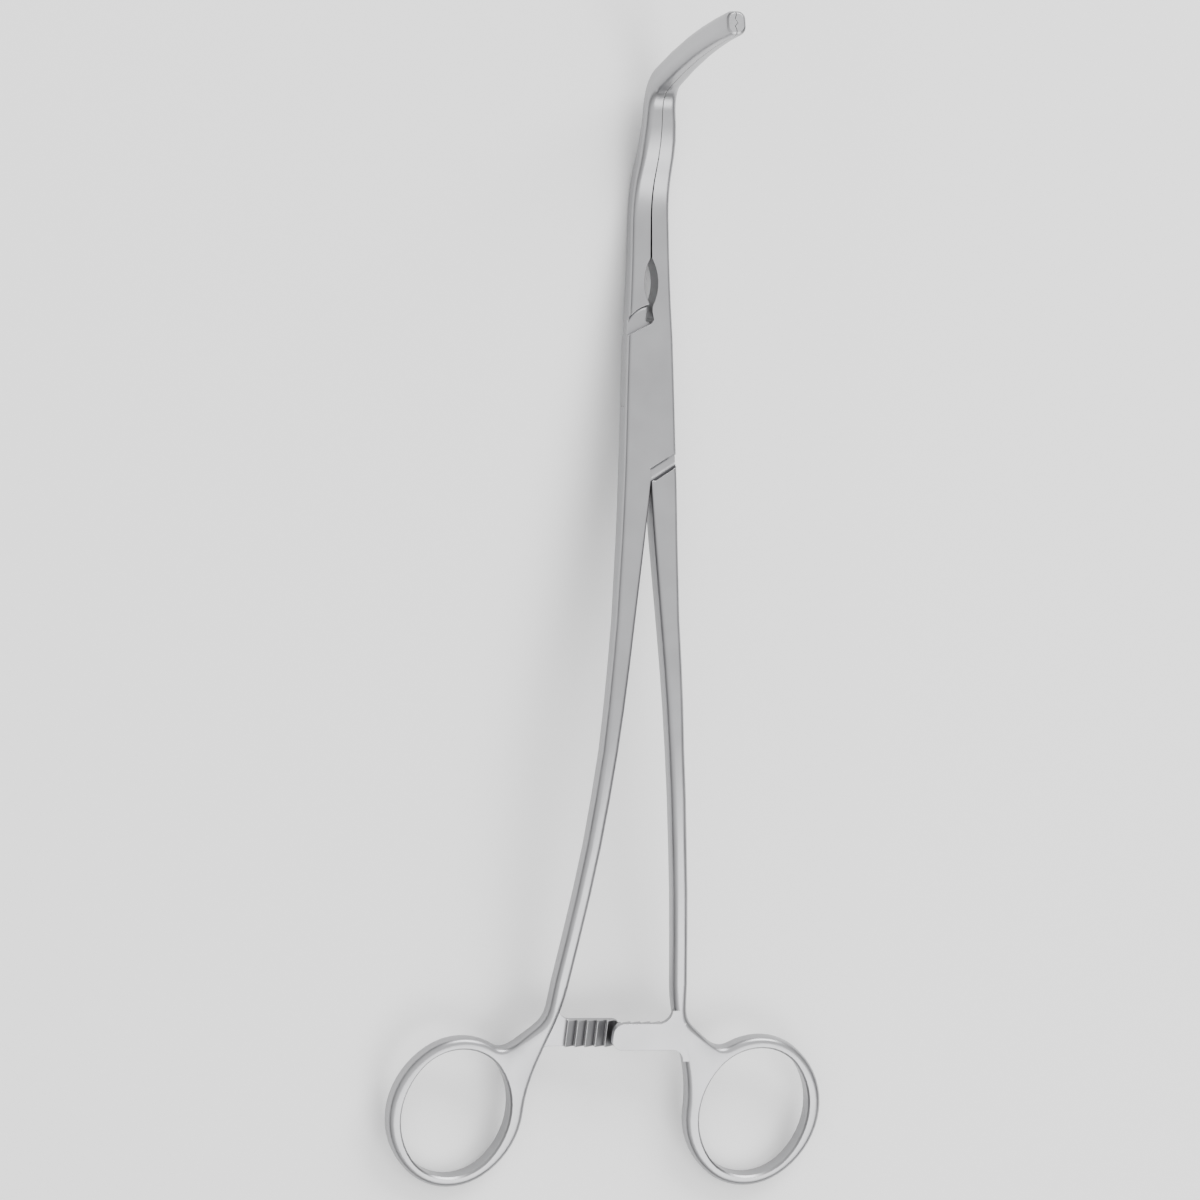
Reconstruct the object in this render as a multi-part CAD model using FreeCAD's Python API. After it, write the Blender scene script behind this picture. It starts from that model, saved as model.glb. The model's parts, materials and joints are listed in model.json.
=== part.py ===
import FreeCAD, Part
import math
import os
from FreeCAD import Vector

# A box-lock clamp in two forged halves on one pin, lying on its back.
# All sizes are in millimetres. While it is modelled, x runs to the right, y runs from
# the pin towards the jaws and z runs along the pin, towards the front.

# Box lock
lock_thickness = 5.7
lock_corner_radius = 1.0
tongue_thickness = 2.4
tongue_side_clearance = 0.05
tongue_flank_clearance = 0.15
lock_half_width = 5.84
slot_tilt = 20.6
opening_limit = 40.0
stop_margin = 2.0
pin_radius = 1.75
pin_clearance = 0.06
mating_gap = 0.12
step_cove = 1.2
cheek_bevel = 0.55

# Plan of the lock's steps, x and y from the pin
cheek_top_inner = (0.3, 16.85)
cheek_top_outer = (-5.9, 13.8)
cheek_bottom_inner = (-0.1, -16.7)
cheek_bottom_outer = (6.4, -12.8)
jaw_step_inner = (-0.5, 21.1)
jaw_step_middle = (-2.7, 20.3)
jaw_step_outer = (-5.6, 17.6)
shank_step_inner = (0.1, -19.6)
shank_step_outer = (6.9, -15.4)
crotch_height = -19.0

# Openings between the two jaws above the lock
window_bottom = 20.5
window_top = 31.6
window_middle = 26.0
window_half_width = 1.7
relief_centre = (-0.1, 17.75)
relief_radius = 0.75
relief_top = 21.0
root_gap = 0.45
root_gap_top = 56.0

# Side view: the lock's faces are flat and parallel, then both ends ease off its plane
lock_flat_above = 13.0
easing_radius = 150.0

# Handle side: straight, a long bend backwards, straight again
handle_first_tilt = 2.5
handle_straight = 31.5
handle_bend_radius = 214.0
handle_tilt = 20.4

# Jaw side: straight, a joggle forwards, the sharp bend and the long jaw
jaw_first_tilt = 1.1
jaw_straight = 24.9
joggle_radius = 22.9
joggle_angle = 30.2
joggle_straight = 2.5
joggle_exit_angle = 1.9
bend_radius = 8.5
bend_angle = 69.0
jaw_sweep_radius = 209.0
jaw_length = 47.0

# Ridges along the insides of the jaws: two rows on the right jaw, one on the left
ridge_start = 71.5
ridge_pitch = 1.6
ridge_height = 0.7
jaw_space_width = 8.0
jaw_space_depth = 4.0

# Sections of the jaws and shanks: longest span and sharpest turn between two of them
section_span = 12.0
section_turn = 9.0

# Rings, in their own tilted plane
ring_inner_width = 26.2
ring_inner_length = 31.2
ring_rod_inner_side = 3.4
ring_rod_outer_side = 3.1
ring_rod_end = 2.6
ring_end_radius = 11.8
ring_spread = 72.3
ring_centre_below_bend = 42.9
plate_thickness = 4.2
plate_edge_radius = 1.4
rim_bands = 4
hole_edge_chamfer = 0.45
web_join_angle = 30.0
web_valley = (20.8, -23.7)
tail_outer = 18.1
tail_inner = 16.7
plate_start_below_bend = 12.0
plate_start_inner = 12.5
plate_start_outer = 16.27
plate_lean = 6.9
inner_side_pull = 12.0
outer_side_pull = 8.0
web_pull = 4.0

# Ratchet bars
ratchet_top_below_bend = 21.15
ratchet_height = 6.4
ratchet_root = 16.8
ratchet_pitch = 2.4
ratchet_tooth_height = 0.9
ratchet_crest_clearance = 0.15
ratchet_first_tooth = 11.05
ratchet_end_radius = 2.4
flare_top_radius = 3.2
flare_top_side = 13.3
flare_bottom_radius = 2.8
flare_bottom_side = 17.2
flare_depth = 1.7
male_bar_reach = 0.4
female_bar_reach = 2.4
male_tooth_count = 5
female_tooth_count = 6

# How the clamp lies on its back
rest_tilt = 9.3

# Working sizes of the cutting solids
tall_half = 90.0
band_length = 60.0
plan_far = 120.0
root_overlap = 5.0
tip_overshoot = 1.0
cove_foot = 1.8


def rad(angle):
    return math.radians(angle)


# The slot runs straight and slanting through the box. Its half width puts the box's
# inner corners where the tongue's sides meet them just past the widest opening.
slot_half_width = lock_half_width * (
    math.cos(rad(slot_tilt)) + math.sin(rad(slot_tilt)) * math.tan(rad(opening_limit + stop_margin) / 2))


def side_station(pieces, distance):
    """Point and heading on a chain of straights and arcs in the side view."""
    along, up, heading = 0.0, 0.0, 0.0
    left = distance
    for length, radius in pieces:
        step = min(left, length)
        if radius is None:
            along += step * math.cos(heading)
            up += step * math.sin(heading)
        else:
            turn = step / radius
            along += radius * (math.sin(heading + turn) - math.sin(heading))
            up += radius * (math.cos(heading) - math.cos(heading + turn))
            heading += turn
        left -= step
        if left <= 0:
            break
    return along, up, heading


endless = 1000.0
handle_pieces = [
    (-crotch_height, None),
    (easing_radius * rad(handle_first_tilt), easing_radius),
    (handle_straight, None),
    (handle_bend_radius * rad(handle_tilt - handle_first_tilt), handle_bend_radius),
]
bend_end = sum(length for length, radius in handle_pieces)
handle_pieces.append((endless, None))
jaw_pieces = [
    (lock_flat_above, None),
    (easing_radius * rad(jaw_first_tilt), easing_radius),
    (jaw_straight, None),
    (joggle_radius * rad(joggle_angle - jaw_first_tilt), joggle_radius),
    (joggle_straight, None),
    (joggle_radius * rad(joggle_angle - joggle_exit_angle), -joggle_radius),
    (bend_radius * rad(bend_angle - joggle_exit_angle), bend_radius),
]
jaw_end = sum(length for length, radius in jaw_pieces) + jaw_length
jaw_pieces.append((endless, jaw_sweep_radius))


def section_place(station, downward, middle=0.0, lean=0.0):
    """Function from a section's own coordinates, across and through, to space.

    The section stands square to the path and may lean sideways about its middle.
    """
    along, up, heading = station
    sign = -1 if downward else 1
    origin = Vector(middle, sign * along, sign * up)
    across = Vector(math.cos(lean), math.sin(lean) * math.cos(heading), math.sin(lean) * math.sin(heading))
    through = Vector(0, -math.sin(heading), math.cos(heading))

    def at(x, n):
        return origin + across * (x - middle) + through * n

    return at


def section(at, inner, outer, depth, inner_radius, outer_radius):
    """Rounded rectangle across the bar, from x = inner to x = outer."""
    half = depth / 2.0
    ri, ro = inner_radius, outer_radius
    ki, ko = ri * (1 - math.sqrt(0.5)), ro * (1 - math.sqrt(0.5))
    edges = [
        Part.makeLine(at(inner + ri, half), at(outer - ro, half)),
        Part.Arc(at(outer - ro, half), at(outer - ko, half - ko), at(outer, half - ro)).toShape(),
        Part.makeLine(at(outer, half - ro), at(outer, -half + ro)),
        Part.Arc(at(outer, -half + ro), at(outer - ko, -half + ko), at(outer - ro, -half)).toShape(),
        Part.makeLine(at(outer - ro, -half), at(inner + ri, -half)),
        Part.Arc(at(inner + ri, -half), at(inner + ki, -half + ki), at(inner, -half + ri)).toShape(),
        Part.makeLine(at(inner, -half + ri), at(inner, half - ri)),
        Part.Arc(at(inner, half - ri), at(inner + ki, half - ki), at(inner + ri, half)).toShape(),
    ]
    return Part.Wire(edges)


# Both jaws above the pin: distance, half width, depth, corner radius
jaw_stations = [
    (0.0, lock_half_width, lock_thickness, lock_corner_radius),
    (lock_flat_above, 5.45, lock_thickness, lock_corner_radius),
    (22.0, 4.95, 5.4, 1.0),
    (31.0, 4.63, 5.0, 1.0),
    (41.0, 4.45, 4.7, 1.1),
    (53.0, 4.2, 4.7, 1.3),
    (60.0, 4.05, 4.6, 1.5),
    (66.5, 3.6, 4.6, 1.6),
    (ridge_start, 3.4, 4.9, 1.7),
    (76.5, 3.25, 5.2, 1.8),
    (98.0, 2.9, 5.4, 1.8),
    (jaw_end - 1.1, 2.45, 5.6, 1.8),
    (jaw_end - 0.35, 2.25, 5.2, 1.75),
    (jaw_end, 1.75, 4.3, 1.4),
]

# Lock below the pin: distance, half width, depth, corner radius
lock_stations = [
    (9.8, 6.09, lock_thickness, lock_corner_radius),
    (-crotch_height, 6.4, lock_thickness, lock_corner_radius),
]

# Right shank: distance, inner edge, outer edge, depth, inner radius, outer radius, lean
shank_stations = [
    (-crotch_height, mating_gap / 2, 6.4, lock_thickness, 0.3, lock_corner_radius, 0.0),
    (25.0, 0.5, 6.6, 5.5, 0.6, 1.0, 1.5),
    (33.0, 1.2, 6.9, 5.4, 0.9, 1.1, 3.5),
    (51.0, 3.0, 7.75, 5.0, 1.2, 1.2, 5.0),
    (80.5, 6.0, 10.0, 4.6, 1.4, 1.4, 5.5),
    (102.5, 8.4, 12.3, 4.4, 1.5, 1.5, 6.4),
    (bend_end + plate_start_below_bend, plate_start_inner, plate_start_outer, plate_thickness,
     plate_edge_radius, plate_edge_radius, plate_lean),
]


def sizes_at(stations, distance):
    """Sizes read off a station list, straight between two stations."""
    for before, after in zip(stations, stations[1:]):
        if distance <= after[0]:
            share = (distance - before[0]) / (after[0] - before[0])
            return [a + (b - a) * share for a, b in zip(before[1:], after[1:])]
    return list(stations[-1][1:])


def section_distances(pieces, stations):
    """Distances of the stations, with more between them where the path is long or turns."""
    distances = [stations[0][0]]
    for before, after in zip(stations, stations[1:]):
        length = after[0] - before[0]
        start_heading = side_station(pieces, before[0])[2]
        end_heading = side_station(pieces, after[0])[2]
        turn = math.degrees(abs(end_heading - start_heading))
        spans = math.ceil(max(length / section_span, turn / section_turn))
        distances += [before[0] + length * (i + 1) / spans for i in range(spans)]
    return distances


def jaw_section(distance):
    """Section of both jaws together at a distance from the pin."""
    half_width, depth, radius = sizes_at(jaw_stations, distance)
    at = section_place(side_station(jaw_pieces, distance), False)
    return section(at, -half_width, half_width, depth, radius, radius)


def lock_section(distance, half_width, depth, radius):
    """Section of both halves together below the pin."""
    at = section_place(side_station(handle_pieces, distance), True)
    return section(at, -half_width, half_width, depth, radius, radius)


jaw_distances = section_distances(jaw_pieces, jaw_stations)


def lock_and_necks():
    """Both halves together as one bar, from the crotch up to where the ridges start."""
    wires = [lock_section(*station) for station in reversed(lock_stations)]
    wires += [jaw_section(distance) for distance in jaw_distances if distance <= ridge_start]
    return Part.makeLoft(wires, True, True)


def jaw_ends():
    """Both jaws together as one bar, from the start of the ridges to the rounded tips."""
    wires = [jaw_section(distance) for distance in jaw_distances if distance >= ridge_start]
    return Part.makeLoft(wires, True, True)


def jaw_space(side):
    """Space that one jaw may fill beyond the ridge start, 1 for the right and -1 for the left.

    Its inner face zigzags, which gives the right jaw two ridges and the left jaw one.
    """
    face = side * mating_gap / 2
    row = ridge_pitch / 2
    rise = ridge_height / 2
    outline = [
        (face, -jaw_space_depth), (face, -2 * row), (face - rise, -row), (face + rise, 0),
        (face - rise, row), (face, 2 * row), (face, jaw_space_depth),
        (side * jaw_space_width, jaw_space_depth), (side * jaw_space_width, -jaw_space_depth),
    ]
    distances = [distance for distance in jaw_distances if distance >= ridge_start]
    wires = []
    for distance in distances[:-1] + [jaw_end + tip_overshoot]:
        at = section_place(side_station(jaw_pieces, distance), False)
        points = [at(x, n) for x, n in outline]
        wires.append(Part.makePolygon(points + points[:1]))
    return Part.makeLoft(wires, True, True)


def right_shank():
    """Tapering shank on the right, from the crotch to the ring plate."""
    wires = []
    for distance in section_distances(handle_pieces, shank_stations):
        inner, outer, depth, inner_radius, outer_radius, lean = sizes_at(shank_stations, distance)
        station = side_station(handle_pieces, distance)
        at = section_place(station, True, (inner + outer) / 2, rad(lean))
        wires.append(section(at, inner, outer, depth, inner_radius, outer_radius))
    return Part.makeLoft(wires, True, True)


def on_ring_plane(shape):
    """Carry a shape from the flat ring plan (y = 0 at the end of the bend) to its tilted plane."""
    along, up, heading = side_station(handle_pieces, bend_end)
    shape.Placement = FreeCAD.Placement(
        Vector(0, -along, -up),
        FreeCAD.Rotation(Vector(1, 0, 0), math.degrees(heading)),
    )
    return shape


def oval(centre, half_width, half_length, end_radius):
    """Four tangent arcs of an upright oval, as circle, start angle and end angle.

    The arcs run anticlockwise: left side, bottom end, right side, top end.
    """
    rise = half_length - end_radius
    side_radius = (half_width ** 2 + rise ** 2 - end_radius ** 2) / (2 * (half_width - end_radius))
    shift = side_radius - half_width
    turn = math.atan2(rise, shift)
    arcs = []
    for x, y, radius, start, end in [
        (shift, 0, side_radius, math.pi - turn, math.pi + turn),
        (0, -rise, end_radius, math.pi + turn, 2 * math.pi - turn),
        (-shift, 0, side_radius, -turn, turn),
        (0, rise, end_radius, turn, math.pi - turn),
    ]:
        circle = Part.Circle(centre + Vector(x, y, 0), Vector(0, 0, 1), radius)
        arcs.append((circle, start, end))
    return arcs


def finger_hole(grown, height):
    """Upright oval prism through the ring, its outline grown outwards by a distance."""
    centre = Vector(ring_spread / 2, -ring_centre_below_bend, 0)
    arcs = oval(centre, ring_inner_width / 2 + grown, ring_inner_length / 2 + grown, ring_end_radius + grown)
    outline = Part.Wire([Part.Arc(*arc).toShape() for arc in arcs])
    outline.translate(Vector(0, 0, height))
    return outline


def finger_opening():
    """Finger hole through the ring plate, flared at both faces."""
    half = plate_thickness / 2
    waist = half - hole_edge_chamfer
    wires = [finger_hole(hole_edge_chamfer, -half), finger_hole(0, -waist),
             finger_hole(0, waist), finger_hole(hole_edge_chamfer, half)]
    return Part.makeLoft(wires, True, True)


def spline(points, first_direction, last_direction):
    """Smooth edge through the points, leaving and arriving along two directions."""
    curve = Part.BSplineCurve()
    curve.interpolate(Points=points, InitialTangent=first_direction, FinalTangent=last_direction)
    return curve.toShape()


def reversed_edge(edge):
    """The same edge, run through the other way."""
    curve = edge.Curve.copy()
    curve.reverse()
    return curve.toShape()


def plate_outline(inset, height):
    """Outline of the ring, its web and the end of its shank, drawn in by a distance."""
    lean = rad(plate_lean)
    leaving = Vector(math.sin(lean), -math.cos(lean), 0)
    across = Vector(math.cos(lean), math.sin(lean), 0)
    middle = Vector((plate_start_inner + plate_start_outer) / 2, -plate_start_below_bend, 0)
    half_start = across * ((plate_start_outer - plate_start_inner) / 2 - inset)
    start_inner, start_outer = middle - half_start, middle + half_start
    centre = Vector((ring_spread + ring_rod_outer_side - ring_rod_inner_side) / 2, -ring_centre_below_bend, 0)
    half_width = (ring_inner_width + ring_rod_inner_side + ring_rod_outer_side) / 2
    left, bottom, right, top = oval(centre, half_width - inset, ring_inner_length / 2 + ring_rod_end - inset,
                                    ring_end_radius + ring_rod_end - inset)
    side_join = math.pi
    web_join = math.pi / 2 + rad(web_join_angle)
    tail = Vector(tail_inner + inset, -ratchet_top_below_bend - ratchet_height, 0)
    inner_side = spline([start_inner, tail, left[0].value(side_join)],
                        leaving * inner_side_pull, Vector(0, -1, 0) * inner_side_pull)
    web_direction = top[0].tangent(web_join)[0] * -1
    outer_side = spline([start_outer, Vector(tail_outer - inset, -ratchet_top_below_bend - inset / 2, 0),
                         Vector(web_valley[0], web_valley[1] - inset, 0), top[0].value(web_join)],
                        leaving * outer_side_pull, web_direction * web_pull)
    rim = [Part.Arc(circle, first, last).toShape() for circle, first, last in [
        (left[0], side_join, left[2]), bottom, right, (top[0], top[1], web_join)]]
    outline = Part.Wire([inner_side] + rim + [reversed_edge(outer_side), Part.makeLine(start_outer, start_inner)])
    outline.translate(Vector(0, 0, height))
    return outline


def right_ring():
    """Flat finger ring with its web and the end of the shank, rounded along the rim."""
    half = plate_thickness / 2
    steps = [math.pi / 2 * i / rim_bands for i in range(rim_bands + 1)]
    levels = [(plate_edge_radius * (1 - math.cos(a)), half - plate_edge_radius * (1 - math.sin(a))) for a in steps]
    back = [plate_outline(inset, -height) for inset, height in reversed(levels)]
    front = [plate_outline(inset, height) for inset, height in levels]
    plate = Part.makeLoft(back + front, True, True)
    return plate.cut(finger_opening())


def ratchet_bar(reach, tooth_count, front):
    """Bar from the right shank towards the middle, toothed on its inner face.

    front says which half of the thickness it fills: the front half with teeth that
    face back, or the back half with teeth that face the front.
    """
    root = ratchet_root
    half = plate_thickness / 2
    crest = ratchet_crest_clearance / 2
    floor = crest + ratchet_tooth_height
    last_tooth = ratchet_first_tooth - (tooth_count - 1) * ratchet_pitch
    outline = [Vector(root, 0, floor), Vector(root, 0, half), Vector(last_tooth - ratchet_pitch, 0, half)]
    for i in reversed(range(tooth_count)):
        x = ratchet_first_tooth - i * ratchet_pitch
        outline += [Vector(x - ratchet_pitch, 0, floor), Vector(x, 0, crest)]
    outline += [Vector(ratchet_first_tooth, 0, floor)]
    face = Part.Face(Part.makePolygon(outline + outline[:1]))
    bar = face.extrude(Vector(0, -ratchet_height, 0))
    bar.translate(Vector(0, -ratchet_top_below_bend, 0))
    span = Part.makeBox(root + reach, ratchet_height, plate_thickness,
                        Vector(-reach, -ratchet_top_below_bend - ratchet_height, -half))
    ends = [edge for edge in span.Edges if edge.BoundBox.XMax < -reach + 0.01 and edge.BoundBox.ZLength > 1]
    bar = bar.common(span.makeFillet(ratchet_end_radius, ends)).fuse(bar_flare(floor, half))
    if not front:
        bar = bar.mirror(Vector(0, 0, 0), Vector(0, 0, 1))
    return bar


def bar_flare(low, high):
    """Rounded inner corners where a ratchet bar grows out of the shank's end."""
    top = -ratchet_top_below_bend
    bottom = top - ratchet_height
    corners = []
    for side, level, radius, up in [(flare_top_side, top, flare_top_radius, 1),
                                    (flare_bottom_side, bottom, flare_bottom_radius, -1)]:
        far = radius * (1 - math.sqrt(0.5))
        corners.append(((side, level + up * radius), (side - far, level + up * far), (side - radius, level)))
    upper, lower = corners
    edges = [arc_plan(*upper), line_plan(upper[2], lower[2]), arc_plan(*lower)]
    edges += path_plan([lower[0], (flare_bottom_side + flare_depth, lower[0][1]),
                        (flare_top_side + flare_depth, upper[0][1]), upper[0]])
    flare = Part.Face(Part.Wire(Part.__sortEdges__(edges))).extrude(Vector(0, 0, high - low))
    flare.translate(Vector(0, 0, low))
    return flare


def mirrored(shape):
    return shape.mirror(Vector(0, 0, 0), Vector(1, 0, 0))


def slot_band(half_width, half_height):
    """Straight slanting bar through the lock: the slot, or the tongue that fills it."""
    bar = Part.makeBox(2 * half_width, 2 * band_length, 2 * half_height, Vector(-half_width, -band_length, -half_height))
    bar.rotate(Vector(0, 0, 0), Vector(0, 0, 1), slot_tilt)
    return bar


def arc_plan(first, middle, last):
    return Part.Arc(Vector(*first, 0), Vector(*middle, 0), Vector(*last, 0)).toShape()


def tall(face_edges):
    """Upright prism through the whole thickness over a closed plan outline."""
    face = Part.Face(Part.Wire(Part.__sortEdges__(face_edges)))
    prism = face.extrude(Vector(0, 0, 2 * tall_half))
    prism.translate(Vector(0, 0, -tall_half))
    return prism


def line_plan(first, last):
    return Part.makeLine(Vector(*first, 0), Vector(*last, 0))


def split_edge(sign, foot):
    """Inner outline of one jaw in plan, from above the tips down to the foot of the window."""
    top = (sign * mating_gap / 2, plan_far)
    gap_top = (sign * mating_gap / 2, root_gap_top)
    gap_low = (sign * root_gap / 2, window_top)
    return [
        line_plan(top, gap_top),
        line_plan(gap_top, gap_low),
        arc_plan(gap_low, (sign * window_half_width, window_middle), foot),
    ]


def path_plan(points):
    return [line_plan(first, second) for first, second in zip(points, points[1:])]


def past(inner, outer):
    """Point on the line from inner to outer, well outside the lock."""
    stretch = plan_far / math.hypot(outer[0] - inner[0], outer[1] - inner[1])
    return inner[0] + (outer[0] - inner[0]) * stretch, inner[1] + (outer[1] - inner[1]) * stretch


def female_plan():
    """Plan area of the right jaw, the cheeks and the top of the left shank."""
    foot = (cheek_top_inner[0], window_bottom)
    top = past(cheek_top_inner, cheek_top_outer)
    bottom = past(cheek_bottom_inner, cheek_bottom_outer)
    low = (cheek_bottom_inner[0], -plan_far)
    edges = split_edge(1, foot)
    edges += path_plan([foot, cheek_top_inner, top, (top[0], low[1]), low, cheek_bottom_inner, bottom,
                        (bottom[0], plan_far), (mating_gap / 2, plan_far)])
    return tall(edges)


def male_jaw_plan():
    """Plan area of the left jaw, down to just past the foot of the cove at its step."""
    foot = (jaw_step_inner[0], jaw_step_inner[1] - cove_foot)
    edges = split_edge(-1, jaw_step_inner)
    edges += path_plan([jaw_step_inner, foot, (-plan_far, foot[1] - plan_far / 2), (-plan_far, plan_far),
                        (-mating_gap / 2, plan_far)])
    return tall(edges)


def male_shank_plan():
    """Plan area of the right shank's top, up to the foot of the cove at its step."""
    lift = step_cove / math.cos(shank_step_angle())
    inner = (shank_step_inner[0], shank_step_inner[1] + lift)
    outer = past(inner, (shank_step_outer[0], shank_step_outer[1] + lift))
    low = (shank_step_inner[0], crotch_height - root_overlap)
    return tall(path_plan([inner, outer, (outer[0], low[1]), low, inner]))


def shank_step_angle():
    return math.atan2(shank_step_outer[1] - shank_step_inner[1], shank_step_outer[0] - shank_step_inner[0])


def cove_profile(reach):
    """Upright section of the space in front of a step with a hollow at its foot.

    x = 0 is the step's wall and the space lies on the negative side, above the tongue.
    """
    floor = tongue_thickness / 2
    near = step_cove * (1 - math.sqrt(0.5))
    hollow = Part.Arc(Vector(-step_cove, 0, floor), Vector(-near, 0, floor + near), Vector(0, 0, floor + step_cove))
    corners = [Vector(0, 0, floor + step_cove), Vector(0, 0, tall_half), Vector(-reach, 0, tall_half),
               Vector(-reach, 0, floor), Vector(-step_cove, 0, floor)]
    return Part.Face(Part.Wire([hollow.toShape()] + Part.makePolygon(corners).Edges))


def step_spaces():
    """Free space in front of the male half's steps: round at the jaw, straight at the shank."""
    circle = arc_plan(jaw_step_inner, jaw_step_middle, jaw_step_outer).Curve
    profile = cove_profile(circle.Radius)
    profile.translate(Vector(circle.Radius, 0, 0))
    jaw_space_round = profile.revolve(Vector(0, 0, 0), Vector(0, 0, 1), 360)
    jaw_space_round.translate(circle.Center)
    straight = cove_profile(band_length).extrude(Vector(0, 2 * band_length, 0))
    straight.translate(Vector(0, -band_length, 0))
    straight.rotate(Vector(0, 0, 0), Vector(0, 0, 1), math.degrees(shank_step_angle()) - 90)
    straight.translate(Vector(*shank_step_inner, 0))
    back = Vector(0, 0, 1)
    return ([jaw_space_round, jaw_space_round.mirror(Vector(0, 0, 0), back)],
            [straight, straight.mirror(Vector(0, 0, 0), back)])


def relief():
    """Drop-shaped hole between the window and the cheeks, through both halves."""
    hole = Part.makeCylinder(relief_radius, 2 * tall_half, Vector(*relief_centre, -tall_half))
    x, y = relief_centre
    throat = tall(path_plan([(x - relief_radius, y), (x + relief_radius, y), (x, relief_top),
                             (x - relief_radius, y)]))
    return hole.fuse(throat)


def cheek_wedge(inner, outer):
    """Prism that bevels the bottom edge of the front cheek."""
    length = math.hypot(outer[0] - inner[0], outer[1] - inner[1])
    direction = Vector(outer[0] - inner[0], outer[1] - inner[1], 0) * (1 / length)
    start = Vector(*inner, lock_thickness / 2)
    into = Vector(0, 0, 1).cross(direction)
    corners = [start, start + into * cheek_bevel, start - Vector(0, 0, cheek_bevel)]
    return Part.Face(Part.makePolygon(corners + corners[:1])).extrude(direction * 2 * length)


def bore(radius):
    return Part.makeCylinder(radius, lock_thickness, Vector(0, 0, -lock_thickness / 2))


def joined(solids):
    """One solid out of pieces that meet or overlap."""
    return solids[0].fuse(solids[1:]).removeSplitter().Solids[0]


def female_half(pair, ends):
    """Right jaw, box with its two cheeks, left shank, back ratchet bar and left ring."""
    box = pair.common(female_plan())
    box = box.cut(slot_band(slot_half_width, tongue_thickness / 2 + tongue_side_clearance))
    box = box.cut([bore(pin_radius), relief(), cheek_wedge(cheek_bottom_inner, cheek_bottom_outer)])
    jaw = ends.common(jaw_space(1))
    bar = on_ring_plane(ratchet_bar(female_bar_reach, female_tooth_count, False))
    ring = on_ring_plane(right_ring())
    return joined([box, jaw, mirrored(right_shank()), mirrored(ring), mirrored(bar)])


def male_half(pair, ends):
    """Left jaw, thin tongue through the box, right shank, front ratchet bar and right ring."""
    jaw_step_space, shank_step_space = step_spaces()
    neck = pair.common(male_jaw_plan()).cut(jaw_step_space)
    root = pair.common(male_shank_plan()).cut(shank_step_space)
    tongue = slot_band(slot_half_width - tongue_flank_clearance, tongue_thickness / 2)
    height = jaw_step_inner[1] - shank_step_inner[1]
    between_steps = Part.makeBox(2 * plan_far, height, tongue_thickness,
                                 Vector(-plan_far, shank_step_inner[1], -tongue_thickness / 2))
    tongue = tongue.common(between_steps).common(pair).cut(bore(pin_radius + pin_clearance))
    middle = joined([neck, tongue, root])
    jaw = ends.common(jaw_space(-1))
    bar = on_ring_plane(ratchet_bar(male_bar_reach, male_tooth_count, True))
    return joined([middle.cut(relief()), jaw, right_shank(), on_ring_plane(right_ring()), bar])


def laid_down(shape):
    """Tip a shape back so that the clamp rests on its rings and the root of its jaws."""
    shape = shape.copy()
    shape.rotate(Vector(0, 0, 0), Vector(1, 0, 0), -rest_tilt)
    return shape


def main():
    os.makedirs("parts", exist_ok=True)
    pair = lock_and_necks()
    ends = jaw_ends()
    nodes = {
        "female_half": laid_down(female_half(pair, ends)),
        "male_half": laid_down(male_half(pair, ends)),
        "lock_pin": laid_down(bore(pin_radius)),
    }
    box = FreeCAD.BoundBox()
    for shape in nodes.values():
        box.add(shape.optimalBoundingBox(False, False))
    offset = Vector(-box.Center.x, -box.Center.y, -box.ZMin)
    print("size", round(box.XLength, 2), round(box.YLength, 2), round(box.ZLength, 2))
    print("pin centre", offset)
    for name, shape in nodes.items():
        shape.translate(offset)
        print(name, shape.isValid(), len(shape.Solids), round(shape.Volume, 2))
        shape.exportStep("parts/%s.step" % name)


main()
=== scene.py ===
import json
import math

import bmesh
import bpy
from mathutils import Matrix, Vector

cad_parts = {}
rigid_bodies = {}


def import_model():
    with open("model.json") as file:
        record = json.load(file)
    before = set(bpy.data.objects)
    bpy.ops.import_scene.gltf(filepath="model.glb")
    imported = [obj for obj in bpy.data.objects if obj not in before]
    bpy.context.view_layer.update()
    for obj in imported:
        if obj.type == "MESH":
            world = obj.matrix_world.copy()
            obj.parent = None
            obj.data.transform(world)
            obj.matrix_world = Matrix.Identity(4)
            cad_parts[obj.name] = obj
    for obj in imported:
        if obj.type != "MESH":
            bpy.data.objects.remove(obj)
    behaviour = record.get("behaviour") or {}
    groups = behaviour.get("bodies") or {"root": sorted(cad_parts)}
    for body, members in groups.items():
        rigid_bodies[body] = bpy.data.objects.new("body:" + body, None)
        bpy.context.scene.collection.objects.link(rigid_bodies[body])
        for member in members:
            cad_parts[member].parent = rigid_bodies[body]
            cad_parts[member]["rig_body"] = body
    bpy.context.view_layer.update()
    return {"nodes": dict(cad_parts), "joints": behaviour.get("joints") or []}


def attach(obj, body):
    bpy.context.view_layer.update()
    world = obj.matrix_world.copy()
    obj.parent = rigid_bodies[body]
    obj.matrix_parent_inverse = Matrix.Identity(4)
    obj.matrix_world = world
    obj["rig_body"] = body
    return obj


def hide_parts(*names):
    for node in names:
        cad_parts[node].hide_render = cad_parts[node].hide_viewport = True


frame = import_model()

# A box-lock clamp of satin steel, closed, on its back on white paper. Its own directions
# are front, along the pin, jaws, along the shanks, and right.
lock_joint = frame["joints"][0]
pin_centre = Vector(lock_joint["pos_m"])
front = Vector(lock_joint["axis"]).normalized()
right = Vector((1, 0, 0))
jaws = front.cross(right)
lock_half_thickness = 0.00285

# The camera stands 20 degrees to the clamp's left, so far off that perspective hardly shows.
# The photograph covers this width at the clamp, and its middle lies this far from the lock.
camera_turn = 20.0
camera_lens = 1000.0
camera_sensor = 36.0
camera_sight = 30.0
photo_width = 0.2727
look_right = -0.0117
look_jaws = -0.0461

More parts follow.
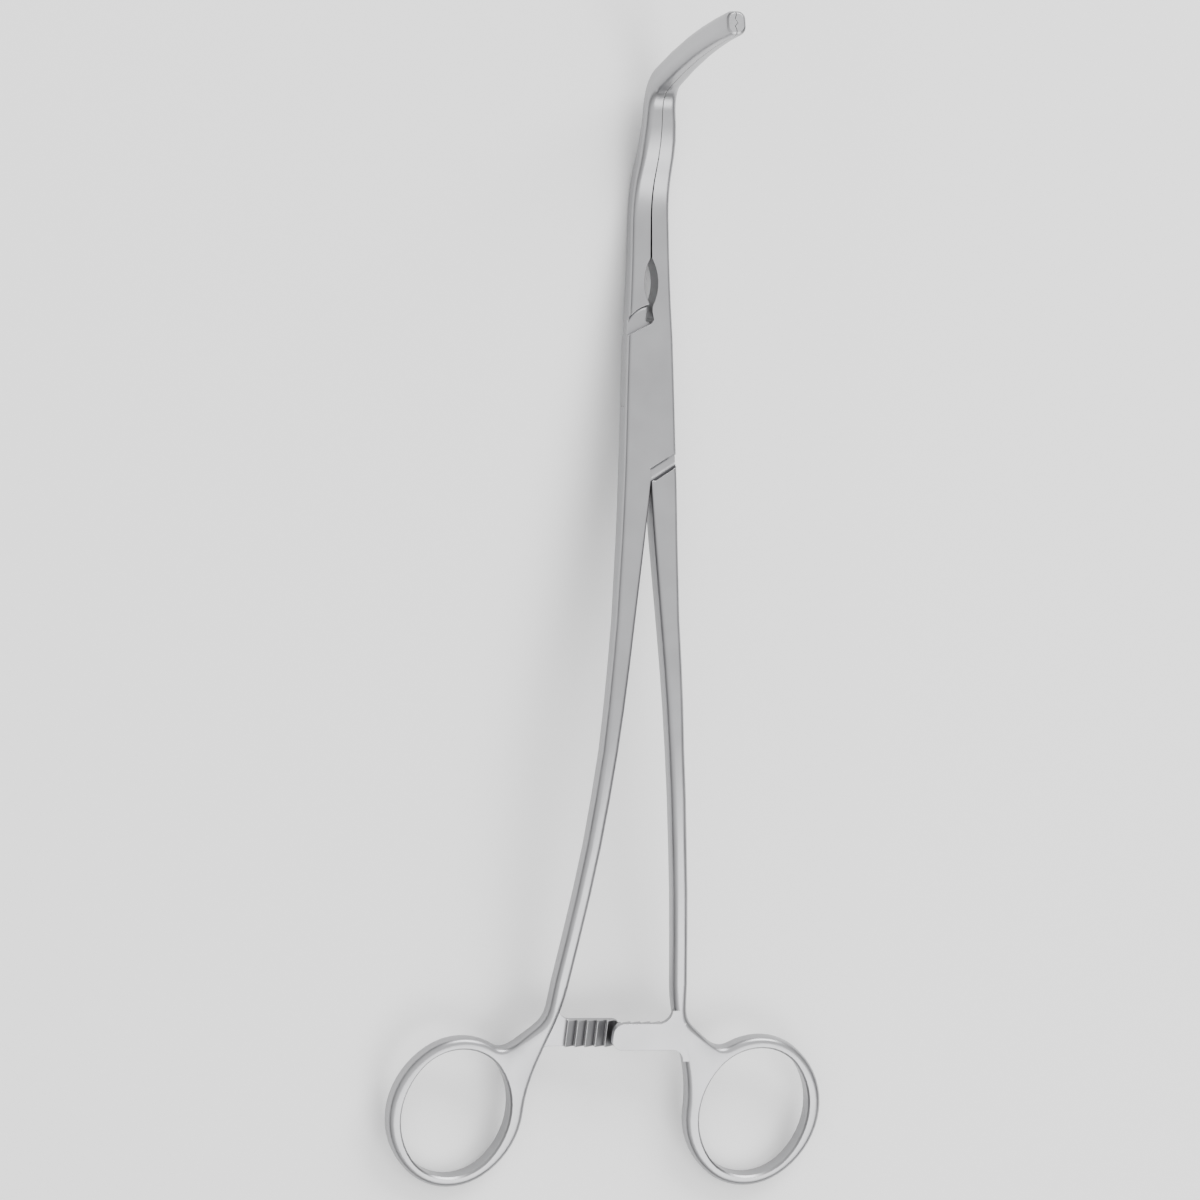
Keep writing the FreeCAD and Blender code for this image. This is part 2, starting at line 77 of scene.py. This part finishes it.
# Surface detail of the steel, in metres. The flush radius is that of the pin, 1.75 mm, and
# a little of the lock's face around it.
grain_width = 0.0003
cloud_length = 0.009
stroke_spacing = 0.0004
stroke_length = 0.012
relief = 0.00004
edge_radius = 0.00018
flush_radius = 0.0022
# Painted shade darkens the steel where other surfaces, the floor too, lie within this distance
shade_reach = 0.0007

# The frame's meshes come as loose triangles. Corners this close become one, and edges
# that turn by more degrees than this stay sharp when the surface is shaded smooth.
weld_distance = 0.000002
crease_angle = 27.0

# The paper reaches this far to each side, past what the camera sees from any angle. On the
# right it falls by the drop between these distances from the clamp's middle.
floor_reach = 14.0
slope_start = 0.060
slope_end = 0.165
slope_drop = 0.0135
fold_width = 0.010
paper_tooth = 0.002


def linear(colour):
    """Linear RGBA of an sRGB colour given as six hex digits."""
    values = [int(colour[i:i + 2], 16) / 255 for i in (0, 2, 4)]
    return [v / 12.92 if v <= 0.04045 else ((v + 0.055) / 1.055) ** 2.4 for v in values] + [1.0]


def new_material(name):
    """Material with an empty node tree."""
    material = bpy.data.materials.new(name)
    material.use_nodes = True
    material.node_tree.nodes.clear()
    return material


def add_node(owner, kind, settings=None, links=None):
    """New node of a material or world, with its settings and its links.

    A setting is an attribute of the node if it has one of that name, and otherwise the
    value of a socket, which is named by its label or its number. A Mix node's vectors are
    inputs 4 and 5 and output 1, and its colours are inputs 6 and 7 and output 2.
    """
    node = owner.node_tree.nodes.new(kind)
    for name, value in (settings or {}).items():
        if isinstance(name, str) and hasattr(node, name):
            setattr(node, name, value)
        else:
            node.inputs[name].default_value = value
    for name, output in (links or {}).items():
        owner.node_tree.links.new(output, node.inputs[name])
    return node


def satin_stainless_forging():
    """Forged martensitic stainless steel, ground and then blasted with glass beads.

    To the eye it is a light neutral grey that mirrors only broad soft shapes, with a
    fine grain, slow clouding from the hand finish and brighter, smoother worn edges.
    """
    material = new_material("satin_stainless_forging")
    place = add_node(material, "ShaderNodeTexCoord").outputs["Object"]

    # Bead marks are about 0.05 mm across. Drawn at 0.3 mm, they just show as a grain.
    grain = add_node(material, "ShaderNodeTexNoise",
                     {"Scale": 1 / grain_width, "Detail": 2.0, "Roughness": 0.6}, {"Vector": place})
    # The hand finish leaves clouds about 9 mm long
    clouds = add_node(material, "ShaderNodeTexNoise",
                      {"Scale": 1 / cloud_length, "Detail": 3.0, "Roughness": 0.5}, {"Vector": place})
    # Polishing strokes run along the shanks, 0.4 mm apart and about 12 mm long
    stretched = add_node(material, "ShaderNodeMapping",
                         {"Scale": (1 / stroke_spacing, 1 / stroke_length, 1 / stroke_spacing)},
                         {"Vector": place})
    strokes = add_node(material, "ShaderNodeTexNoise", {"Scale": 1.0, "Detail": 3.0, "Roughness": 0.65},
                       {"Vector": stretched.outputs["Vector"]})

    # Grinding and blasting round every edge by nearly 0.2 mm
    edge = add_node(material, "ShaderNodeBevel", {"samples": 6, "Radius": edge_radius})
    flat = add_node(material, "ShaderNodeNewGeometry")
    # The pin is ground off with the lock's faces, so no rounded rim shows around it
    from_pin = add_node(material, "ShaderNodeVectorMath", {"operation": "SUBTRACT", 1: pin_centre},
                        {0: place})
    off_axis = add_node(material, "ShaderNodeVectorMath", {"operation": "CROSS_PRODUCT", 1: front},
                        {0: from_pin.outputs["Vector"]})
    distance = add_node(material, "ShaderNodeVectorMath", {"operation": "LENGTH"},
                        {0: off_axis.outputs["Vector"]})
    clear_of_pin = add_node(material, "ShaderNodeMath", {"operation": "GREATER_THAN", 1: flush_radius},
                            {0: distance.outputs["Value"]})
    rounded = add_node(material, "ShaderNodeMix", {"data_type": "VECTOR"},
                       {0: clear_of_pin.outputs["Value"], 4: flat.outputs["Normal"],
                        5: edge.outputs["Normal"]})
    # Wear shows where the rounded surface turns away from the flat one
    aligned = add_node(material, "ShaderNodeVectorMath", {"operation": "DOT_PRODUCT"},
                       {0: rounded.outputs[1], 1: flat.outputs["Normal"]})
    worn = add_node(material, "ShaderNodeMapRange",
                    {"From Min": 0.995, "From Max": 0.90, "To Min": 0.0, "To Max": 1.0},
                    {"Value": aligned.outputs["Value"]})

    cloud_colour = add_node(material, "ShaderNodeMix",
                            {"data_type": "RGBA", 6: linear("959597"), 7: linear("A2A2A4")},
                            {0: clouds.outputs["Fac"]})
    bare = add_node(material, "ShaderNodeMix", {"data_type": "RGBA", 7: linear("C4C4C4")},
                    {0: worn.outputs["Result"], 6: cloud_colour.outputs[2]})
    # Painted shade darkens the colour near other surfaces, the floor too: slots, steps, tooth roots
    occlusion_shade = add_node(material, "ShaderNodeAmbientOcclusion", {"samples": 8, "Distance": shade_reach})
    unshaded = add_node(material, "ShaderNodeMapRange",
                       {"From Min": 0.1, "From Max": 0.6, "To Min": 0.0, "To Max": 1.0},
                       {"Value": occlusion_shade.outputs["AO"]})
    colour = add_node(material, "ShaderNodeMix", {"data_type": "RGBA", 6: linear("5C5C5D")},
                      {0: unshaded.outputs["Result"], 7: bare.outputs[2]})
    # Satin steel is about 0.33 rough. The clouds vary that, and worn edges are smoother.
    satin = add_node(material, "ShaderNodeMapRange",
                     {"From Min": 0.3, "From Max": 0.7, "To Min": 0.29, "To Max": 0.37},
                     {"Value": clouds.outputs["Fac"]})
    roughness = add_node(material, "ShaderNodeMath", {"operation": "MULTIPLY_ADD", 1: -0.12},
                         {0: worn.outputs["Result"], 2: satin.outputs["Result"]})
    blasted = add_node(material, "ShaderNodeBump", {"Strength": 0.16, "Distance": relief},
                       {"Height": grain.outputs["Fac"], "Normal": rounded.outputs[1]})
    stroked = add_node(material, "ShaderNodeBump", {"Strength": 0.10, "Distance": relief},
                       {"Height": strokes.outputs["Fac"], "Normal": blasted.outputs["Normal"]})
    steel = add_node(material, "ShaderNodeBsdfPrincipled", {"Metallic": 1.0},
                     {"Base Color": colour.outputs[2], "Roughness": roughness.outputs["Value"],
                      "Normal": stroked.outputs["Normal"]})
    add_node(material, "ShaderNodeOutputMaterial", None, {"Surface": steel.outputs["BSDF"]})
    return material


def studio_paper():
    """Matt white background paper with a faint tooth."""
    material = new_material("studio_paper")
    place = add_node(material, "ShaderNodeTexCoord").outputs["Object"]
    tooth = add_node(material, "ShaderNodeTexNoise", {"Scale": 1 / paper_tooth, "Detail": 2.0},
                     {"Vector": place})
    colour = add_node(material, "ShaderNodeMix",
                      {"data_type": "RGBA", 6: linear("FAFAFA"), 7: linear("FCFCFC")},
                      {0: tooth.outputs["Fac"]})
    paper = add_node(material, "ShaderNodeBsdfPrincipled", {"Roughness": 0.9},
                     {"Base Color": colour.outputs[2]})
    add_node(material, "ShaderNodeOutputMaterial", None, {"Surface": paper.outputs["BSDF"]})
    return material


def finished_steel(node, name, material):
    """The node's own solid as one closed skin with smooth shading and crisp creases."""
    source = frame["nodes"][node]
    skin = bmesh.new()
    skin.from_mesh(source.data)
    bmesh.ops.remove_doubles(skin, verts=skin.verts, dist=weld_distance)
    for face in skin.faces:
        face.smooth = True
    for edge in skin.edges:
        if len(edge.link_faces) == 2:
            edge.smooth = edge.calc_face_angle() < math.radians(crease_angle)
    mesh = bpy.data.meshes.new(name)
    skin.to_mesh(mesh)
    skin.free()
    mesh.materials.append(material)
    piece = bpy.data.objects.new(name, mesh)
    bpy.context.scene.collection.objects.link(piece)
    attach(piece, source["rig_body"])
    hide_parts(node)


def studio_floor():
    """Sheet of white paper that the clamp lies on.

    It is flat under the closed clamp and falls away gently on the right. The lying clamp's
    pin isn't upright, so the opened half swings lower there than the closed clamp lies.
    """
    sheet = bmesh.new()
    section = ((-floor_reach, 0.0), (slope_start, 0.0),
               (slope_end, -slope_drop), (floor_reach, -slope_drop))
    near_row = [sheet.verts.new((x, -floor_reach, z)) for x, z in section]
    near_edge = [sheet.edges.new(ends) for ends in zip(near_row, near_row[1:])]
    swept = bmesh.ops.extrude_edge_only(sheet, edges=near_edge)
    far_row = [vertex for vertex in swept["geom"] if isinstance(vertex, bmesh.types.BMVert)]
    bmesh.ops.translate(sheet, verts=far_row, vec=(0, 2 * floor_reach, 0))
    folds = [edge for edge in sheet.edges if len(edge.link_faces) == 2]
    bmesh.ops.bevel(sheet, geom=folds, offset=fold_width, segments=6, profile=0.5, affect="EDGES",
                    material=-1)
    for face in sheet.faces:
        face.smooth = True
    mesh = bpy.data.meshes.new("studio_floor")
    sheet.to_mesh(mesh)
    sheet.free()
    mesh.materials.append(studio_paper())
    floor = bpy.data.objects.new("studio_floor", mesh)
    bpy.context.scene.collection.objects.link(floor)


def softbox(name, place, width, height, watts):
    """Large soft lamp aimed at the clamp, out of the camera's sight."""
    light = bpy.data.lights.new(name, "AREA")
    light.shape = "RECTANGLE"
    light.size = width
    light.size_y = height
    light.energy = watts
    lamp = bpy.data.objects.new(name, light)
    lamp.location = place
    lamp.rotation_euler = (-Vector(place)).to_track_quat("-Z", "Y").to_euler()
    lamp.visible_camera = False
    bpy.context.scene.collection.objects.link(lamp)


def tent_room():
    """White light tent: bright overhead and dim towards its open sides."""
    room = bpy.data.worlds.new("tent_room")
    room.use_nodes = True
    room.node_tree.nodes.clear()
    direction = add_node(room, "ShaderNodeTexCoord").outputs["Generated"]
    height = add_node(room, "ShaderNodeSeparateXYZ", None, {"Vector": direction})
    strength = add_node(room, "ShaderNodeMapRange",
                        {"From Min": 0.1, "From Max": 0.85, "To Min": 0.15, "To Max": 1.65},
                        {"Value": height.outputs["Z"]})
    glow = add_node(room, "ShaderNodeBackground", {"Color": linear("FFFFFF")},
                    {"Strength": strength.outputs["Result"]})
    add_node(room, "ShaderNodeOutputWorld", None, {"Surface": glow.outputs["Background"]})
    bpy.context.scene.world = room


def studio_light():
    """Light tent with one softbox beyond the rings and one beyond the jaws."""
    softbox("low_softbox", place=(0.75, -1.25, 1.7), width=1.5, height=1.2, watts=24.0)
    softbox("back_softbox", place=(0.9, 1.9, 1.2), width=1.6, height=1.2, watts=60.0)
    tent_room()


def photo_camera():
    """Camera square to the shanks, turned to the clamp's left about its length."""
    turn = math.radians(camera_turn)
    across = right * math.cos(turn) + front * math.sin(turn)
    back = front * math.cos(turn) - right * math.sin(turn)
    target = pin_centre + front * lock_half_thickness + across * look_right + jaws * look_jaws
    data = bpy.data.cameras.new("photo_camera")
    data.lens = camera_lens
    data.sensor_width = camera_sensor
    data.clip_end = camera_sight
    camera = bpy.data.objects.new("photo_camera", data)
    distance = photo_width * camera_lens / camera_sensor
    place = target + back * distance
    camera.matrix_world = Matrix((
        (across.x, jaws.x, back.x, place.x),
        (across.y, jaws.y, back.y, place.y),
        (across.z, jaws.z, back.z, place.z),
        (0, 0, 0, 1)))
    bpy.context.scene.collection.objects.link(camera)
    bpy.context.scene.camera = camera


forged_steel = satin_stainless_forging()
finished_steel("female_half", "box_half", forged_steel)
finished_steel("male_half", "tongue_half", forged_steel)
finished_steel("lock_pin", "flush_pin", forged_steel)
studio_floor()
studio_light()
photo_camera()
